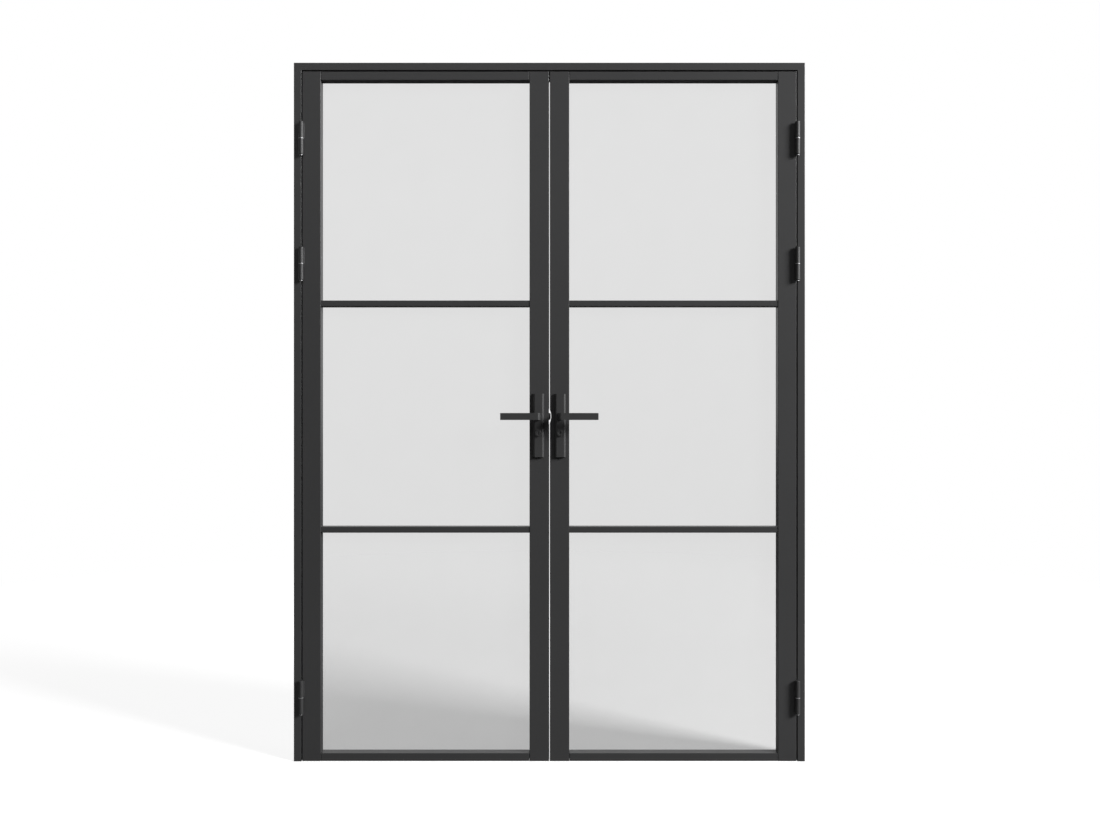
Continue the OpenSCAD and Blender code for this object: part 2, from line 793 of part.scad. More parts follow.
module lock_case() {
    case_x = -meet_x - forend_t;
    case_l = meeting_stile_w - rebate_w - leaf_wall - case_room - forend_t;
    clear = 2 * bolt_clear;
    color(steel) difference() {
        union() {
            translate([case_x, -forend_w / 2, forend_bottom]) cube([forend_t, forend_w, forend_l]);
            translate([case_x - case_l, -case_t / 2, case_bottom]) cube([case_l, case_t, case_h]);
        }
        translate([case_x - case_l + case_wall, -case_t / 2 + case_wall, case_bottom + case_wall])
            cube([case_l - case_wall, case_t - 2 * case_wall, case_h - 2 * case_wall]);
        bolt_bar(cut, lever_z, 3 * forend_t, latch_t + clear, latch_h + clear);
        bolt_bar(cut, cylinder_z, 3 * forend_t, deadbolt_t + clear, deadbolt_h + clear);
        handle_holes();
    }
}

// Latch with a round nose that runs level with the notch
module latch_bolt() {
    nose_r = notch_r - (meeting_gap + notch_depth - latch_out);
    color(steel) intersection() {
        bolt_bar(-meet_x + latch_out, lever_z, latch_out + latch_tail, latch_t, latch_h);
        translate([-meet_x + latch_out - nose_r, 0, lever_z]) rotate([90, 0, 0])
            cylinder(r = nose_r, h = 2 * latch_t, center = true, $fn = 96);
    }
}

module deadbolt() {
    color(steel) bolt_bar(-meet_x, cylinder_z, deadbolt_throw + deadbolt_hold, deadbolt_t, deadbolt_h);
}

// Steel block behind the edge wall, dished for the latch and slotted for the deadbolt
module keep() {
    keep_w = leaf_t - 2 * leaf_wall;
    color(steel) on_side("right") difference() {
        translate([-meet_x - leaf_wall - keep_t, -keep_w / 2, keep_bottom])
            cube([keep_t, keep_w, keep_top - keep_bottom]);
        latch_notch();
        deadbolt_slot();
    }
}

// Round bolt at the top of the leaf with the thumb slide that moves it
module flush_bolt() {
    slide_x = -meet_x - flush_inset;
    translate([slide_x, 0, leaf_top - flush_l]) cylinder(d = flush_d, h = flush_l - flush_set);
    translate([slide_x, -slide_w / 2, leaf_top - flush_l])
        cube([flush_inset - flush_set, slide_w, slide_h]);
}

module top_bolt() {
    color(steel) on_side("right") flush_bolt();
}

module bottom_bolt() {
    color(steel) on_side("right") at_foot() flush_bolt();
}

jamb("left");  // left_jamb
jamb("right");  // right_jamb
head();
side_stop("left");  // left_stop
side_stop("right");  // right_stop
head_stop();
frame_seal();
frame_knuckles("left");  // left_frame_knuckles
frame_knuckles("right");  // right_frame_knuckles
hinge_pins("left");  // left_hinge_pins
hinge_pins("right");  // right_hinge_pins
hinge_rings("left");  // left_hinge_rings
hinge_rings("right");  // right_hinge_rings
hinge_stile("left");  // left_hinge_stile
meeting_stile("left");  // left_meeting_stile
top_rail("left");  // left_top_rail
bottom_rail("left");  // left_bottom_rail
glazing_bar("left", 1);  // left_upper_bar
glazing_bar("left", 0);  // left_lower_bar
pane("left", 2);  // left_upper_pane
pane("left", 1);  // left_middle_pane
pane("left", 0);  // left_lower_pane
glazing_beads("left");  // left_glazing_beads
glazing_tapes("left");  // left_glazing_tapes
leaf_knuckles("left");  // left_leaf_knuckles
front_plate("left");  // left_front_plate
rear_plate("left");  // left_rear_plate
plate_screws("left");  // left_plate_screws
key_cylinder("left");  // left_cylinder
cylinder_plug("left");  // left_cylinder_plug
front_lever("left");  // left_front_lever
rear_lever("left");  // left_rear_lever
spindle("left");  // left_spindle
lock_case();  // left_lock_case
latch_bolt();  // left_latch_bolt
deadbolt();  // left_deadbolt
hinge_stile("right");  // right_hinge_stile
meeting_stile("right");  // right_meeting_stile
top_rail("right");  // right_top_rail
bottom_rail("right");  // right_bottom_rail
glazing_bar("right", 1);  // right_upper_bar
glazing_bar("right", 0);  // right_lower_bar
pane("right", 2);  // right_upper_pane
pane("right", 1);  // right_middle_pane
pane("right", 0);  // right_lower_pane
glazing_beads("right");  // right_glazing_beads
glazing_tapes("right");  // right_glazing_tapes
leaf_knuckles("right");  // right_leaf_knuckles
front_plate("right");  // right_front_plate
rear_plate("right");  // right_rear_plate
plate_screws("right");  // right_plate_screws
key_cylinder("right");  // right_cylinder
cylinder_plug("right");  // right_cylinder_plug
front_lever("right");  // right_front_lever
rear_lever("right");  // right_rear_lever
spindle("right");  // right_spindle
keep();  // right_keep
top_bolt();  // right_top_bolt
bottom_bolt();  // right_bottom_bolt
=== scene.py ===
"""Dresses a pair of glazed steel french doors.

Gives the pieces their finishes, softens the fittings, adds weld seams, screws and a meeting seal,
and sets up the studio. Lengths are in metres.
"""

import json
import math

import bmesh
import bpy
from bpy.props import FloatProperty, FloatVectorProperty, IntProperty, PointerProperty
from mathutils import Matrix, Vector

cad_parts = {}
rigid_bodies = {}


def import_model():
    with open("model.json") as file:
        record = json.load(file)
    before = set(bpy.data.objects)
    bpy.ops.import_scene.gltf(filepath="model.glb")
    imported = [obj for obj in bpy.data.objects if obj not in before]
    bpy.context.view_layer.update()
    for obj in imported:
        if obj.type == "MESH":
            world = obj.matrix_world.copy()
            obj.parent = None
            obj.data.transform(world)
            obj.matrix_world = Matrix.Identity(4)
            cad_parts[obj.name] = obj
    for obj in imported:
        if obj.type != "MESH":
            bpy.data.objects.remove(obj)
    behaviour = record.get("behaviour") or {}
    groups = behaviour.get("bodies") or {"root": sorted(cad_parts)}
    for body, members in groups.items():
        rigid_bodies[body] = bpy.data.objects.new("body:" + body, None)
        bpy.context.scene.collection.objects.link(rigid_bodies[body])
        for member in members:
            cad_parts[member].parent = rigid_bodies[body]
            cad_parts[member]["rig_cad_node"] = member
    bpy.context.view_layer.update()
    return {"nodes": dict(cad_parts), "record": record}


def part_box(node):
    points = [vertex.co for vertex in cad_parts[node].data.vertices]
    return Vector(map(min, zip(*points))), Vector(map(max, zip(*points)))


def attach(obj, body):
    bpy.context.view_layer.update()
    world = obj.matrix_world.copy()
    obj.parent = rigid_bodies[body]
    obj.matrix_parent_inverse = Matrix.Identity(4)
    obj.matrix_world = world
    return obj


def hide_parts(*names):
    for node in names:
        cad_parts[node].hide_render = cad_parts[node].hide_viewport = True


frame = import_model()
SLOT_OF = {part["node"]: part["material_slot"] for part in frame["record"]["subparts"]}
BODIES = frame["record"]["behaviour"]["bodies"]
BODY_OF = {member: body for body, members in BODIES.items() for member in members}
SIDES = ("left", "right")
FACES = ("front", "rear")
MM = 0.001

# New pieces.
MERGE_DISTANCE = 0.02 * MM  # points nearer than this become one
FLAT_ANGLE = math.radians(1)  # faces that meet flatter than this become one
SHARP_ANGLE = math.radians(35)  # edges sharper than this are softened
SCREW_ANGLE = math.radians(40)
WELD_ANGLE = math.radians(60)
UP = Vector((0, 0, 1))
RIGHT = Vector((1, 0, 0))
FACING = 0.9  # least part of a normal along a way, for a face that looks that way
WELD_SIDES = 12
WELD_SWELL = 1.14
SCREW_SIDES = 24
SCREW_DEPTH = 0.9 * MM  # from a face to the middle of the screw in it
FOREND_SCREW_END = 9 * MM  # from the lock case's end to the forend's screw
FOOT_REACH = 0.1 * MM  # points this near the carrier's face belong to a hinge foot

# Finishes.
LACQUER_ROUGHNESS = 0.32
PAINTED_SHADE_HEIGHT = 1.1  # at this height the glass has its tint as set; below it a painted shade deepens the tint, standing for the floor's shade seen through the glass, and above it the tint is thinner
# Strength of the painted shade that darkens the glass towards the floor.
PAINTED_SHADE_DEPTH = 0.12
SHADOW_COVER = 0.7  # what the glass holds back from the lamps, beyond its tint

# Studio: the way from the middle of the doors to each lamp, and the white surroundings.
LAMP_TARGET = Vector((0, 0, 1))
KEY_WAY = (0.806, -0.447, 0.39)
FRONT_WAY = (-0.3, -0.75, 0.59)
BACK_WAY = (0.0, 0.94, 0.34)
SENSOR_WIDTH = 36
MIRRORED_FRONT = 0.1  # brightness, in gloss, of the studio in front of the doors
MIRRORED_SIDE = 0.2  # the same at the sides
MIRRORED_RISE = 1.5  # and how fast it rises towards the back
MIRRORED_FLOOR = 0.04
FLOOR_SIZE = 80
FLOOR_DROP = 0.5 * MM  # how far the floor lies under the doors
FLOOR_NEAR = 2.0  # distance at which the floor starts to fade into plain white
FLOOR_FADE = 0.4  # share of it that is lost in each metre beyond
FLOOR_CLOUDING = 0.02
FLOOR_BOUNCE = 0.22  # share of the floor's tone that lights the doors
FLOOR_SHOWN = 0.33  # share added to it for the eye
OPEN_SHADE = 0.5  # share of the floor's shade that shows beside the glass

bl_info = {
    "name": "French door dressing",
    "version": (1, 0, 0),
    "blender": (4, 5, 0),
    "location": "View3D > Sidebar > French doors",
    "description": "Finishes, softened fittings, small trim and studio for glazed steel doors",
    "category": "Object",
}


class FinishSettings(bpy.types.PropertyGroup):
    """Colours and surface of the five finishes."""

    frame_colour: FloatVectorProperty(
        name="Frame paint", description="Charcoal powder coat on the tubes, bars and beads",
        subtype="COLOR", size=3, min=0, max=1, default=(0.0362, 0.0362, 0.0368))
    fitting_colour: FloatVectorProperty(
        name="Fitting paint", description="Satin coat on levers, plates, key cylinders and hinges",
        subtype="COLOR", size=3, min=0, max=1, default=(0.028, 0.028, 0.0285))
    steel_colour: FloatVectorProperty(
        name="Steel", description="Bare steel of the lock, bolts, pins and screws",
        subtype="COLOR", size=3, min=0, max=1, default=(0.42, 0.42, 0.43))
    glass_colour: FloatVectorProperty(
        name="Glass", description="Grey tint of the glass",
        subtype="COLOR", size=3, min=0, max=1, default=(0.10, 0.105, 0.105))
    glass_cover: FloatProperty(
        name="Glass tint", description="Share of the light that the tint of each face holds back",
        subtype="FACTOR", min=0, max=1, default=0.152)
    rubber_colour: FloatVectorProperty(
        name="Rubber", description="Black rubber of the seal and glazing tapes",
        subtype="COLOR", size=3, min=0, max=1, default=(0.012, 0.012, 0.012))
    peel_size: FloatProperty(
        name="Coat grain", description="Size of the powder coat's orange peel",
        subtype="DISTANCE", unit="LENGTH", min=0.0002, default=0.0016)


class FittingSettings(bpy.types.PropertyGroup):
    """Softened edges of the fittings and the small pieces added to them."""

    lever_edge: FloatProperty(
        name="Lever edge", description="Width of the softened edges of levers and key cylinders",
        subtype="DISTANCE", unit="LENGTH", min=0, default=0.8 * MM)
    plate_edge: FloatProperty(
        name="Plate edge", description="Width of the softened edges of the backplates",
        subtype="DISTANCE", unit="LENGTH", min=0, default=0.6 * MM)
    hinge_edge: FloatProperty(
        name="Hinge edge", description="Width of the softened edges of hinges, key plugs and bolts",
        subtype="DISTANCE", unit="LENGTH", min=0, default=0.35 * MM)
    edge_steps: IntProperty(
        name="Edge steps", description="Steps in each softened edge", min=1, max=4, default=2)
    weld_radius: FloatProperty(
        name="Weld radius", description="Radius of the weld seams at the hinge feet",
        subtype="DISTANCE", unit="LENGTH", min=0.0005, default=1.6 * MM)
    weld_step: FloatProperty(
        name="Weld ripple", description="Length of one ripple of a weld seam",
        subtype="DISTANCE", unit="LENGTH", min=0.001, default=2.2 * MM)
    seal_thickness: FloatProperty(
        name="Seal thickness",
        description="How far the meeting seal stands off the left leaf's edge",
        subtype="DISTANCE", unit="LENGTH", min=0.0002, default=0.9 * MM)
    seal_width: FloatProperty(
        name="Seal width", description="Width of the meeting seal",
        subtype="DISTANCE", unit="LENGTH", min=0.002, default=5 * MM)
    seal_setback: FloatProperty(
        name="Seal setback",
        description="Distance of the meeting seal behind the leaf's front face",
        subtype="DISTANCE", unit="LENGTH", min=0, default=1.6 * MM)
    seal_end: FloatProperty(
        name="Seal end", description="Distance of the meeting seal from the leaf's ends",
        subtype="DISTANCE", unit="LENGTH", min=0, default=3 * MM)
    seal_break: FloatProperty(
        name="Seal break", description="Height of the break in the meeting seal at the latch",
        subtype="DISTANCE", unit="LENGTH", min=0.02, default=42 * MM)
    screw_radius: FloatProperty(
        name="Screw radius", description="Radius of the grub and forend screws",
        subtype="DISTANCE", unit="LENGTH", min=0.001, default=2.6 * MM)


class StageSettings(bpy.types.PropertyGroup):
    """Camera, light and floor."""

    camera_distance: FloatProperty(
        name="Camera distance", description="Distance of the camera from the middle of the doors",
        subtype="DISTANCE", unit="LENGTH", min=0.5, default=3.025)
    camera_height: FloatProperty(
        name="Camera height", description="Height of the level camera",
        subtype="DISTANCE", unit="LENGTH", min=0, default=1.025)
    camera_side: FloatProperty(
        name="Camera side", description="Distance of the camera to the right of the slit",
        subtype="DISTANCE", unit="LENGTH", default=1.8 * MM)
    lens: FloatProperty(
        name="Lens", description="Focal length in millimetres", min=10, default=33.465)
    key_power: FloatProperty(
        name="Key light", description="Power of the far light on the right",
        unit="POWER", min=0, default=2520)
    key_distance: FloatProperty(
        name="Key distance", description="Distance of the key light and the back light",
        subtype="DISTANCE", unit="LENGTH", min=1, default=12)
    key_size: FloatProperty(
        name="Key size", description="Side of the key light",
        subtype="DISTANCE", unit="LENGTH", min=0.1, default=3.8)
    front_power: FloatProperty(
        name="Front light", description="Power of the soft light in front, above and to the left",
        unit="POWER", min=0, default=15)
    front_distance: FloatProperty(
        name="Front distance", description="Distance of the front light",
        subtype="DISTANCE", unit="LENGTH", min=1, default=3.0)
    front_size: FloatProperty(
        name="Front size", description="Side of the front light",
        subtype="DISTANCE", unit="LENGTH", min=0.1, default=1.2)
    back_power: FloatProperty(
        name="Back light", description="Power of the far light behind the doors",
        unit="POWER", min=0, default=1000)
    back_size: FloatProperty(
        name="Back size", description="Side of the back light",
        subtype="DISTANCE", unit="LENGTH", min=0.1, default=3.0)
    ambient: FloatProperty(
        name="Ambient", description="Even light from all round", min=0, max=2, default=0.06)
    floor_tone: FloatProperty(
        name="Floor tone", description="Reflectance of the pale floor",
        subtype="FACTOR", min=0, max=1, default=0.9)
    floor_shade: FloatProperty(
        name="Floor shade",
        description="How much darker than white the floor is in full shadow, behind glass",
        subtype="FACTOR", min=0, max=1, default=0.54)


class Wire:
    """A shader socket that takes part in Python expressions."""

    def __init__(self, tree, socket):
        self.tree = tree
        self.socket = socket

    def math(self, operation, *values):
        return node(self.tree, "ShaderNodeMath", {"operation": operation}, values)

    def __add__(self, other):
        return self.math("ADD", self, other)

    def __radd__(self, other):
        return self.math("ADD", other, self)

    def __sub__(self, other):
        return self.math("SUBTRACT", self, other)

    def __rsub__(self, other):
        return self.math("SUBTRACT", other, self)

    def __mul__(self, other):
        return self.math("MULTIPLY", self, other)

    def __rmul__(self, other):
        return self.math("MULTIPLY", other, self)

    def __truediv__(self, other):
        return self.math("DIVIDE", self, other)

    def clamp(self, low=0.0, high=1.0):
        return self.math("MINIMUM", self.math("MAXIMUM", self, low), high)

    def either(self, other):
        return self.math("MAXIMUM", self, other)

    def swing(self, amount):
        """A noise between 0 and 1 turned into a swing about zero."""
        return (self - 0.5) * amount


def node(tree, kind, settings=None, values=None, output=0):
    """Adds one node, sets it up, fills its sockets by name or order and returns one output."""
    made = tree.nodes.new(kind)
    for name, value in (settings or {}).items():
        setattr(made, name, value)
    pairs = values.items() if isinstance(values, dict) else enumerate(values or ())
    for key, value in pairs:
        if isinstance(value, Wire):
            tree.links.new(value.socket, made.inputs[key])
        else:
            made.inputs[key].default_value = value
    return Wire(tree, made.outputs[output])


def tone(colour):
    """A colour with full cover."""
    return (*colour, 1)


def new_finish(name):
    """An empty material with a principled surface, and the wire of its object coordinates."""
    made = bpy.data.materials.new(name)
    made.use_nodes = True
    tree = made.node_tree
    surface = tree.nodes["Principled BSDF"]
    where = node(tree, "ShaderNodeTexCoord", output="Object")
    return made, tree, surface, where


def noise(tree, where, size, detail=2.0, stretch=(1, 1, 1)):
    """Noise whose features are about a given size in metres, stretched along the axes."""
    spread = node(tree, "ShaderNodeMapping", {"vector_type": "POINT"},
                  {"Vector": where, "Scale": stretch})
    return node(tree, "ShaderNodeTexNoise", {"noise_dimensions": "3D"},
                {"Vector": spread, "Scale": 1 / size, "Detail": detail, "Roughness": 0.55}, "Fac")


def mix_colour(tree, factor, low, high):
    """A colour between two, by a factor."""
    return node(tree, "ShaderNodeMix", {"data_type": "RGBA"},
                {0: factor, 6: tone(low), 7: tone(high)}, 2)


def shade(colour, factor):
    """A lighter or darker colour."""
    return tuple(min(1, channel * factor) for channel in colour)


def plug_in(tree, surface, **wires):
    """Feeds the surface's sockets, where a_name stands for the socket called A Name."""
    for name, value in wires.items():
        socket = surface.inputs[name.replace("_", " ").title().replace("Ior", "IOR")]
        if isinstance(value, Wire):
            tree.links.new(value.socket, socket)
        else:
            socket.default_value = value


def bump(tree, height, strength, distance):
    """A normal that follows a height."""
    return node(tree, "ShaderNodeBump", None,
                {"Height": height, "Strength": strength, "Distance": distance})


def coat_finish(name, colour, roughness, gloss, peel, lacquer):
    """Powder coat: clouds in the tone, fine specks, orange peel in the gloss and a clear layer."""
    made, tree, surface, where = new_finish(name)
    clouds = noise(tree, where, size=0.35, detail=3.0)
    specks = noise(tree, where, size=peel * 0.4, detail=1.0)
    grain = noise(tree, where, size=peel, detail=2.0)
    rubbed = noise(tree, where, size=0.06, detail=4.0)
    mixed = (clouds * 0.6 + specks * 0.4).clamp()
    plug_in(
        tree, surface,
        base_color=mix_colour(tree, mixed, shade(colour, 0.86), shade(colour, 1.14)),
        roughness=(roughness + rubbed.swing(0.12) + grain.swing(0.10)).clamp(0.2, 0.9),
        specular_ior_level=gloss,
        coat_weight=lacquer,
        coat_roughness=LACQUER_ROUGHNESS,
        normal=bump(tree, grain, strength=0.12, distance=peel * 0.15),
    )
    return made


def steel_finish(name, colour):
    """Bare steel with fine brushing along the length and dull patches."""
    made, tree, surface, where = new_finish(name)
    brushing = noise(tree, where, size=0.8 * MM, detail=2.0, stretch=(1, 1, 0.06))
    patches = noise(tree, where, size=0.02, detail=3.0)
    plug_in(
        tree, surface,
        base_color=mix_colour(tree, patches, shade(colour, 0.8), shade(colour, 1.1)),
        metallic=1.0,
        roughness=(0.40 + brushing * 0.16 + patches * 0.08).clamp(),
        normal=bump(tree, brushing, strength=0.08, distance=0.2 * MM),
    )
    return made


def glass_finish(name, colour, cover):
    """Tinted float glass with faint waves, whose tint a painted shade deepens towards the floor."""
    made, tree, surface, where = new_finish(name)
    height = node(tree, "ShaderNodeSeparateXYZ", None, {"Vector": where}, "Z")
    waves = noise(tree, where, size=0.5, detail=1.0)
    film = noise(tree, where, size=0.09, detail=4.0)
    # Painted shade: the cover grows towards the floor and shrinks higher up, on top of the glass's
    # real tint and its random film.
    painted_shade = (1 - height / PAINTED_SHADE_HEIGHT).clamp(-0.5, 0.35)
    tint = cover * (1 + painted_shade * PAINTED_SHADE_DEPTH) + film.swing(0.012)
    in_shadow = node(tree, "ShaderNodeLightPath", output="Is Shadow Ray")
    plug_in(
        tree, surface,
        base_color=mix_colour(tree, film, shade(colour, 0.94), shade(colour, 1.06)),
        roughness=(0.03 + film * 0.03).clamp(),
        alpha=(tint + in_shadow * SHADOW_COVER).clamp(),
        normal=bump(tree, waves, strength=0.03, distance=2 * MM),
    )
    return made


def rubber_finish(name, colour):
    """Dull rubber with a dusty bloom."""
    made, tree, surface, where = new_finish(name)
    bloom = noise(tree, where, size=12 * MM, detail=4.0)
    pores = noise(tree, where, size=0.7 * MM, detail=2.0)
    plug_in(
        tree, surface,
        base_color=mix_colour(tree, bloom, colour, shade(colour, 2.2)),
        roughness=(0.68 + bloom * 0.2).clamp(),
        normal=bump(tree, pores, strength=0.25, distance=0.1 * MM),
    )
    return made


def finish_for(scene, slot):
    """The finish of a material slot, made once."""
    look = scene.door_finish
    name = slot + "_finish"
    found = bpy.data.materials.get(name)
    if found:
        return found
    if slot == "frame_paint":
        return coat_finish(name, look.frame_colour, roughness=0.5, gloss=0.14,
                           peel=look.peel_size, lacquer=0.45)
    if slot == "hardware":
        return coat_finish(name, look.fitting_colour, roughness=0.5, gloss=0.45,
                           peel=look.peel_size * 0.6, lacquer=0.0)
    if slot == "steel":
        return steel_finish(name, look.steel_colour)
    if slot == "glass":
        return glass_finish(name, look.glass_colour, look.glass_cover)
    if slot == "rubber":
        return rubber_finish(name, look.rubber_colour)
    raise ValueError(f"no finish for slot {slot}")


def wear(piece, finish):
    """Gives a piece one finish."""
    piece.data.materials.clear()
    piece.data.materials.append(finish)


def paint_nodes(scene, slot):
    """Gives every node of a slot its finish."""
    finish = finish_for(scene, slot)
    members = [name for name, worn in SLOT_OF.items() if worn == slot]
    if not members:
        raise ValueError(f"no node wears {slot}")
    for name in members:
        wear(frame["nodes"][name], finish)


def only(piece):
    """Selects one object and makes it the active one."""
    if bpy.context.mode != "OBJECT":
        bpy.ops.object.mode_set(mode="OBJECT")
    bpy.ops.object.select_all(action="DESELECT")
    piece.select_set(True)
    bpy.context.view_layer.objects.active = piece


def soften(piece, width, steps, angle=SHARP_ANGLE):
    """Bevels the sharp edges, shades the rest smooth and lets the large faces set the shading."""
    only(piece)
    edge = piece.modifiers.new("edge", "BEVEL")
    edge.width = width
    edge.segments = steps
    edge.limit_method = "ANGLE"
    edge.angle_limit = angle
    bpy.ops.object.modifier_apply(modifier=edge.name)
    bpy.ops.object.shade_smooth_by_angle(angle=angle)
    even = piece.modifiers.new("even", "WEIGHTED_NORMAL")
    even.keep_sharp = True
    bpy.ops.object.modifier_apply(modifier=even.name)


def stand_for(scene, name, width, steps):
    """A merged, softened copy that stands for one node."""
    source = frame["nodes"][name]
    only(source)
    bpy.ops.object.duplicate()
    piece = bpy.context.view_layer.objects.active
    piece.name = "soft_" + name
    del piece["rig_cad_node"]
    bpy.ops.object.mode_set(mode="EDIT")
    bpy.ops.mesh.select_all(action="SELECT")
    bpy.ops.mesh.remove_doubles(threshold=MERGE_DISTANCE)
    bpy.ops.mesh.dissolve_limited(angle_limit=FLAT_ANGLE)
    bpy.ops.object.mode_set(mode="OBJECT")
    soften(piece, width, steps)
    wear(piece, finish_for(scene, SLOT_OF[name]))
    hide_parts(name)
    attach(piece, BODY_OF[name])


def pick_faces(piece, way):
    """In edit mode, selects the faces that look a given way."""
    bpy.ops.mesh.select_mode(type="FACE")
    bpy.ops.mesh.select_all(action="DESELECT")
    shape = bmesh.from_edit_mesh(piece.data)
    for face in shape.faces:
        face.select_set(face.normal.dot(way) > FACING)
    bmesh.update_edit_mesh(piece.data)


def settle(piece, name):
    """Names a new piece and moves its place into its mesh."""
    only(piece)
    bpy.ops.object.transform_apply(location=True, rotation=True, scale=True)
    piece.name = name
    piece.data.name = name


def join(pieces, name):
    """Joins new pieces into one."""
    only(pieces[0])
    for piece in pieces:
        piece.select_set(True)
    bpy.ops.object.join()
    made = bpy.context.view_layer.objects.active
    settle(made, name)
    return made


def weld_seam(radius, step, length, foot):
    """An upright seam of ripples, drawn out of a disc one ripple at a time."""
    bpy.ops.object.select_all(action="DESELECT")
    bpy.ops.mesh.primitive_cylinder_add(
        vertices=WELD_SIDES, radius=radius, depth=step / 2, location=foot)
    seam = bpy.context.view_layer.objects.active
    bpy.ops.object.mode_set(mode="EDIT")
    pick_faces(seam, UP)
    ripples = max(2, round(length / step))
    for _ in range(ripples):
        for share, swell in ((0.2, WELD_SWELL), (0.5, 1.0), (0.3, 1 / WELD_SWELL)):
            rise = (0, 0, length / ripples * share)
            bpy.ops.mesh.extrude_region_move(TRANSFORM_OT_translate={"value": rise})
            bpy.ops.transform.resize(value=(swell, swell, 1))
    bpy.ops.object.mode_set(mode="OBJECT")
    bpy.ops.object.shade_smooth_by_angle(angle=WELD_ANGLE)
    return seam


def socket_screw(radius, place, turn):
    """A flush screw with a round socket, its head facing +Z before the turn."""
    height, rim, wall, socket, edge = (radius * part for part in (0.8, 0.14, 0.34, 0.45, 0.08))
    bpy.ops.object.select_all(action="DESELECT")
    bpy.ops.mesh.primitive_cylinder_add(
        vertices=SCREW_SIDES, radius=radius, depth=height, location=place, rotation=turn)
    screw = bpy.context.view_layer.objects.active
    bpy.ops.object.mode_set(mode="EDIT")
    pick_faces(screw, UP)
    bpy.ops.mesh.inset(thickness=rim)
    bpy.ops.mesh.inset(thickness=wall)
    bpy.ops.mesh.extrude_region_shrink_fatten(TRANSFORM_OT_shrink_fatten={"value": -socket})
    bpy.ops.object.mode_set(mode="OBJECT")
    soften(screw, edge, 1, SCREW_ANGLE)
    return screw


def seal_strip(middle, size, step):
    """A thin upright strip whose +X face steps in to a narrow lip."""
    bpy.ops.object.select_all(action="DESELECT")
    bpy.ops.mesh.primitive_cube_add(size=1, location=middle)
    strip = bpy.context.view_layer.objects.active
    bpy.ops.object.mode_set(mode="EDIT")
    bpy.ops.transform.resize(value=size)
    pick_faces(strip, RIGHT)
    bpy.ops.mesh.inset(thickness=size[1] / 4)
    bpy.ops.mesh.extrude_region_shrink_fatten(TRANSFORM_OT_shrink_fatten={"value": step})
    bpy.ops.object.mode_set(mode="OBJECT")
    soften(strip, step / 4, 1)
    return strip


class DOORS_OT_tubes(bpy.types.Operator):
    """Paint the frame, the leaf tubes, the glazing bars and the beads"""

    bl_idname = "doors.tubes"
    bl_label = "Paint tubes and bars"

    def execute(self, context):
        paint_nodes(context.scene, "frame_paint")
        return {"FINISHED"}


class DOORS_OT_glazing(bpy.types.Operator):
    """Tint the panes and blacken the tapes and the seal"""

    bl_idname = "doors.glazing"
    bl_label = "Glaze the leaves"

    def execute(self, context):
        paint_nodes(context.scene, "glass")
        paint_nodes(context.scene, "rubber")
        return {"FINISHED"}


class DOORS_OT_meeting_seal(bpy.types.Operator):
    """Line the front of the left meeting edge with a rubber strip, above and below the latch"""

    bl_idname = "doors.meeting_seal"
    bl_label = "Seal the meeting edge"

    def execute(self, context):
        size = context.scene.door_fittings
        low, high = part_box("left_meeting_stile")
        latch_low, latch_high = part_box("left_latch_bolt")
        latch_z = (latch_low.z + latch_high.z) / 2
        step = size.seal_thickness / 2
        place_y = low.y + size.seal_setback + size.seal_width / 2
        strips = []
        for bottom, top in ((low.z + size.seal_end, latch_z - size.seal_break / 2),
                            (latch_z + size.seal_break / 2, high.z - size.seal_end)):
            strips.append(seal_strip((high.x + step / 2, place_y, (bottom + top) / 2),
                                     (step, size.seal_width, top - bottom), step))
        made = join(strips, "left_meeting_seal")
        wear(made, finish_for(context.scene, "rubber"))
        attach(made, BODY_OF["left_meeting_stile"])
        return {"FINISHED"}


class DOORS_OT_lock(bpy.types.Operator):
    """Give the lock, the bolts, the pins and the spindles bare steel, and soften what shows"""

    bl_idname = "doors.lock"
    bl_label = "Finish the lock and bolts"

    def execute(self, context):
        paint_nodes(context.scene, "steel")
        size = context.scene.door_fittings
        for name in ("left_cylinder", "right_cylinder"):
            stand_for(context.scene, name, size.lever_edge, size.edge_steps)
        for name in ("left_cylinder_plug", "right_cylinder_plug",
                     "left_latch_bolt", "left_deadbolt"):
            stand_for(context.scene, name, size.hinge_edge, size.edge_steps)
        return {"FINISHED"}


class DOORS_OT_levers(bpy.types.Operator):
    """Soften the levers and fit a grub screw under each neck"""

    bl_idname = "doors.levers"
    bl_label = "Finish the levers"

    def execute(self, context):
        scene = context.scene
        size = scene.door_fittings
        for side in SIDES:
            screws = []
            for face in FACES:
                name = f"{side}_{face}_lever"
                stand_for(scene, name, size.lever_edge, size.edge_steps)
                low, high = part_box(name)
                spindle_low, spindle_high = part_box(f"{side}_spindle")
                plate_low, plate_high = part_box(f"{side}_{face}_plate")
                outer = low.y if face == "front" else high.y
                collar = plate_low.y if face == "front" else plate_high.y
                place = ((spindle_low.x + spindle_high.x) / 2, (outer + 2 * collar) / 3,
                         low.z + SCREW_DEPTH)
                screws.append(socket_screw(size.screw_radius, place, (math.pi, 0, 0)))
            made = join(screws, f"{side}_grub_screws")
            wear(made, finish_for(scene, "steel"))
            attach(made, BODY_OF[f"{side}_spindle"])
        return {"FINISHED"}


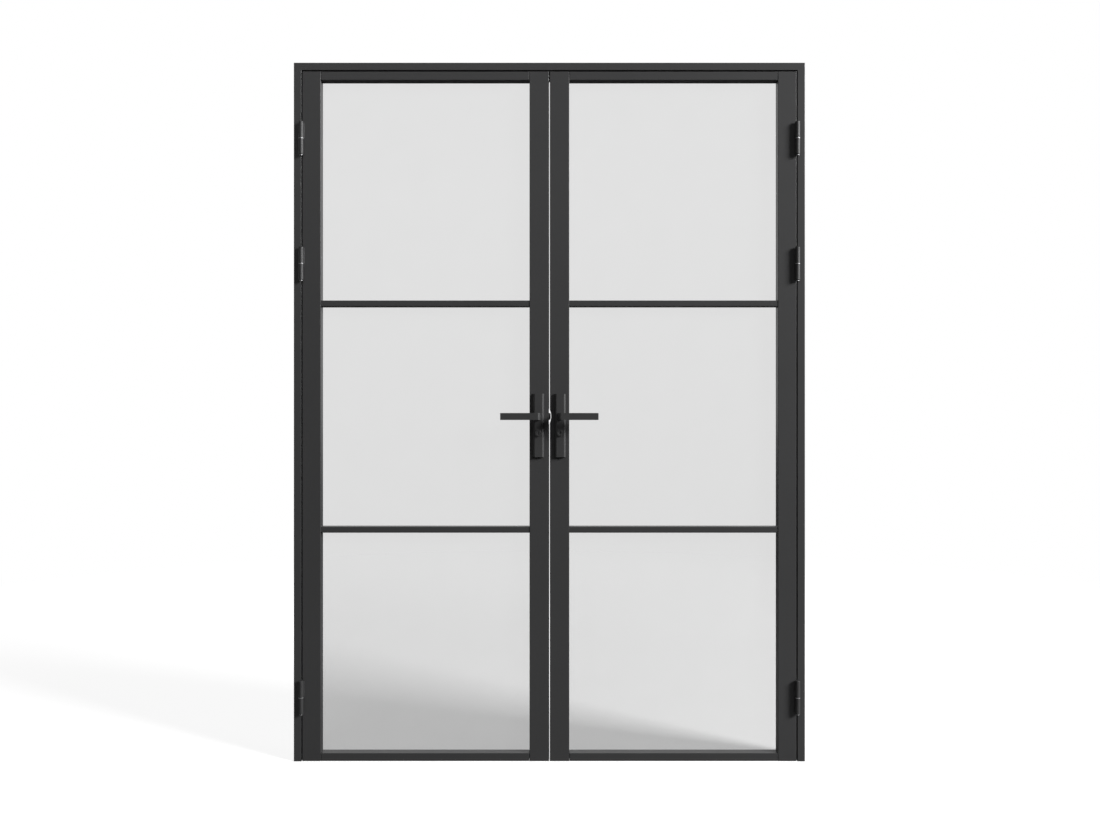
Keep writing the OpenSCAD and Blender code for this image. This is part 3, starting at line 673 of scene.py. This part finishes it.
class DOORS_OT_plates(bpy.types.Operator):
    """Coat the fittings, soften the backplates and fit the forend's screws"""

    bl_idname = "doors.plates"
    bl_label = "Finish the plates"

    def execute(self, context):
        scene = context.scene
        size = scene.door_fittings
        paint_nodes(scene, "hardware")
        for side in SIDES:
            for face in FACES:
                stand_for(scene, f"{side}_{face}_plate", size.plate_edge, size.edge_steps)
        low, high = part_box("left_lock_case")
        turn = (0, math.pi / 2, 0)
        screws = []
        for height in (low.z + FOREND_SCREW_END, high.z - FOREND_SCREW_END):
            place = (high.x - SCREW_DEPTH, 0, height)
            screws.append(socket_screw(size.screw_radius, place, turn))
        made = join(screws, "left_forend_screws")
        wear(made, finish_for(scene, "steel"))
        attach(made, BODY_OF["left_lock_case"])
        return {"FINISHED"}


class DOORS_OT_hinges(bpy.types.Operator):
    """Round the hinge barrels and weld their feet on"""

    bl_idname = "doors.hinges"
    bl_label = "Finish the hinges"

    def execute(self, context):
        scene = context.scene
        size = scene.door_fittings
        for side in SIDES:
            for kind in ("frame_knuckles", "leaf_knuckles", "hinge_rings"):
                stand_for(scene, f"{side}_{kind}", size.hinge_edge, steps=1)
            self.weld(scene, side, "frame_knuckles", f"{side}_jamb", "outer")
            self.weld(scene, side, "leaf_knuckles", f"{side}_hinge_stile", "inner")
        return {"FINISHED"}

    def weld(self, scene, side, kind, carrier, edge):
        """A seam down the free side of each foot, on the face that carries it."""
        size = scene.door_fittings
        name = f"{side}_{kind}"
        away = (-1 if side == "left" else 1) * (1 if edge == "outer" else -1)
        face_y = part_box(carrier)[0].y
        seams = []
        for bottom, top, foot_x in self.feet(name, away):
            foot = (foot_x, face_y, bottom)
            seams.append(weld_seam(size.weld_radius, size.weld_step, top - bottom, foot))
        made = join(seams, f"{side}_{kind}_welds")
        wear(made, finish_for(scene, "hardware"))
        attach(made, BODY_OF[name])

    def feet(self, name, away):
        """Bottom, top and free side of each foot, read from the points on the carrier's face."""
        mesh = frame["nodes"][name].data
        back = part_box(name)[1].y
        points = [v.co for v in mesh.vertices if abs(v.co.y - back) < FOOT_REACH]
        heights = sorted({round(point.z, 5) for point in points})
        pairs = list(zip(heights[0::2], heights[1::2]))
        foot_x = max(point.x * away for point in points) * away
        if not pairs:
            raise ValueError(f"{name} has no feet")
        return [(bottom, top, foot_x) for bottom, top in pairs]


class DOORS_OT_stage(bpy.types.Operator):
    """Set up the camera, the lights, the white studio and the pale floor"""

    bl_idname = "doors.stage"
    bl_label = "Set the stage"

    def execute(self, context):
        stage = context.scene.door_stage
        self.camera(context.scene, stage)
        self.lights(stage)
        self.world(context.scene, stage)
        self.floor(stage)
        context.scene.view_settings.view_transform = "Standard"
        return {"FINISHED"}

    def camera(self, scene, stage):
        """A level camera in front of the doors."""
        bpy.ops.object.camera_add(
            location=(stage.camera_side, -stage.camera_distance, stage.camera_height),
            rotation=(math.pi / 2, 0, 0))
        camera = bpy.context.view_layer.objects.active
        camera.data.sensor_width = SENSOR_WIDTH
        camera.data.lens = stage.lens
        scene.camera = camera

    def lights(self, stage):
        """A far key light, the one that gloss mirrors, a soft front light and a far back light."""
        for way, distance, power, size, mirrored in (
                (KEY_WAY, stage.key_distance, stage.key_power, stage.key_size, True),
                (FRONT_WAY, stage.front_distance, stage.front_power, stage.front_size, False),
                (BACK_WAY, stage.key_distance, stage.back_power, stage.back_size, False)):
            away = Vector(way).normalized()
            bpy.ops.object.light_add(type="AREA", location=LAMP_TARGET + away * distance)
            lamp = bpy.context.view_layer.objects.active
            lamp.rotation_euler = away.to_track_quat("Z", "Y").to_euler()
            lamp.data.energy = power
            lamp.data.size = size
            lamp.visible_glossy = mirrored

    def world(self, scene, stage):
        """White to the eye, faint as a light, and in gloss white at the back alone."""
        world = bpy.data.worlds.new("studio")
        world.use_nodes = True
        scene.world = world
        tree = world.node_tree
        shown, glossy = self.sight(tree)
        way = node(tree, "ShaderNodeTexCoord", output="Generated")
        backwards = node(tree, "ShaderNodeSeparateXYZ", None, {"Vector": way}, "Y")
        mirrored = (MIRRORED_SIDE + backwards * MIRRORED_RISE).clamp(MIRRORED_FRONT, 1)
        seen = shown.either(glossy * mirrored)
        strength = stage.ambient + seen * (1 - stage.ambient)
        tree.links.new(strength.socket, tree.nodes["Background"].inputs["Strength"])
        tree.nodes["Background"].inputs["Color"].default_value = (1, 1, 1, 1)

    def sight(self, tree):
        """Whether a ray serves the eye, straight or through glass, and whether it serves gloss."""
        path = node(tree, "ShaderNodeLightPath").socket.node.outputs
        camera, glossy, through = (Wire(tree, path[name]) for name in (
            "Is Camera Ray", "Is Glossy Ray", "Is Transmission Ray"))
        return camera.either(through), glossy

    def floor(self, stage):
        """A floor that keeps the shadow near the doors and is plain white beyond."""
        bpy.ops.object.select_all(action="DESELECT")
        bpy.ops.mesh.primitive_plane_add(size=FLOOR_SIZE, location=(0, 0, -FLOOR_DROP))
        floor = bpy.context.view_layer.objects.active
        settle(floor, "floor")
        made, tree, surface, where = new_finish("floor_finish")
        cloud = noise(tree, where, size=0.8, detail=3.0)
        away = node(tree, "ShaderNodeVectorMath", {"operation": "LENGTH"}, (where,), "Value")
        near = 1 - ((away - FLOOR_NEAR) * FLOOR_FADE).clamp()
        shown, glossy = self.sight(tree)
        behind_glass = node(tree, "ShaderNodeLightPath", output="Transparent Depth").clamp()
        shaded = near * stage.floor_shade * (OPEN_SHADE + behind_glass * (1 - OPEN_SHADE))
        clouded = 1 - FLOOR_CLOUDING + cloud * FLOOR_CLOUDING
        pale = near * clouded * (FLOOR_BOUNCE + shown * FLOOR_SHOWN)
        plug_in(
            tree, surface,
            base_color=mix_colour(tree, pale, (0, 0, 0), (stage.floor_tone,) * 3),
            roughness=0.9,
            specular_ior_level=0.0,
            emission_color=shown.either(glossy * MIRRORED_FLOOR) * (1 - shaded),
            emission_strength=1.0,
        )
        wear(floor, made)


class DOORS_PT_panel(bpy.types.Panel):
    """Sizes, finishes and steps of the dressing"""

    bl_label = "French doors"
    bl_idname = "DOORS_PT_panel"
    bl_space_type = "VIEW_3D"
    bl_region_type = "UI"
    bl_category = "French doors"

    def draw(self, context):
        scene = context.scene
        for group in (scene.door_finish, scene.door_fittings, scene.door_stage):
            box = self.layout.box()
            for name in group.__annotations__:
                box.prop(group, name)
        for step in STEPS:
            self.layout.operator(step.bl_idname)


STEPS = (
    DOORS_OT_tubes, DOORS_OT_glazing, DOORS_OT_meeting_seal, DOORS_OT_lock,
    DOORS_OT_levers, DOORS_OT_plates, DOORS_OT_hinges, DOORS_OT_stage)
CLASSES = (FinishSettings, FittingSettings, StageSettings, *STEPS, DOORS_PT_panel)


def register():
    for made in CLASSES:
        bpy.utils.register_class(made)
    bpy.types.Scene.door_finish = PointerProperty(type=FinishSettings)
    bpy.types.Scene.door_fittings = PointerProperty(type=FittingSettings)
    bpy.types.Scene.door_stage = PointerProperty(type=StageSettings)


def unregister():
    for name in ("door_finish", "door_fittings", "door_stage"):
        delattr(bpy.types.Scene, name)
    for made in reversed(CLASSES):
        bpy.utils.unregister_class(made)


def main():
    register()
    for step in STEPS:
        group, name = step.bl_idname.split(".")
        getattr(getattr(bpy.ops, group), name)()


if __name__ == "__main__":
    main()
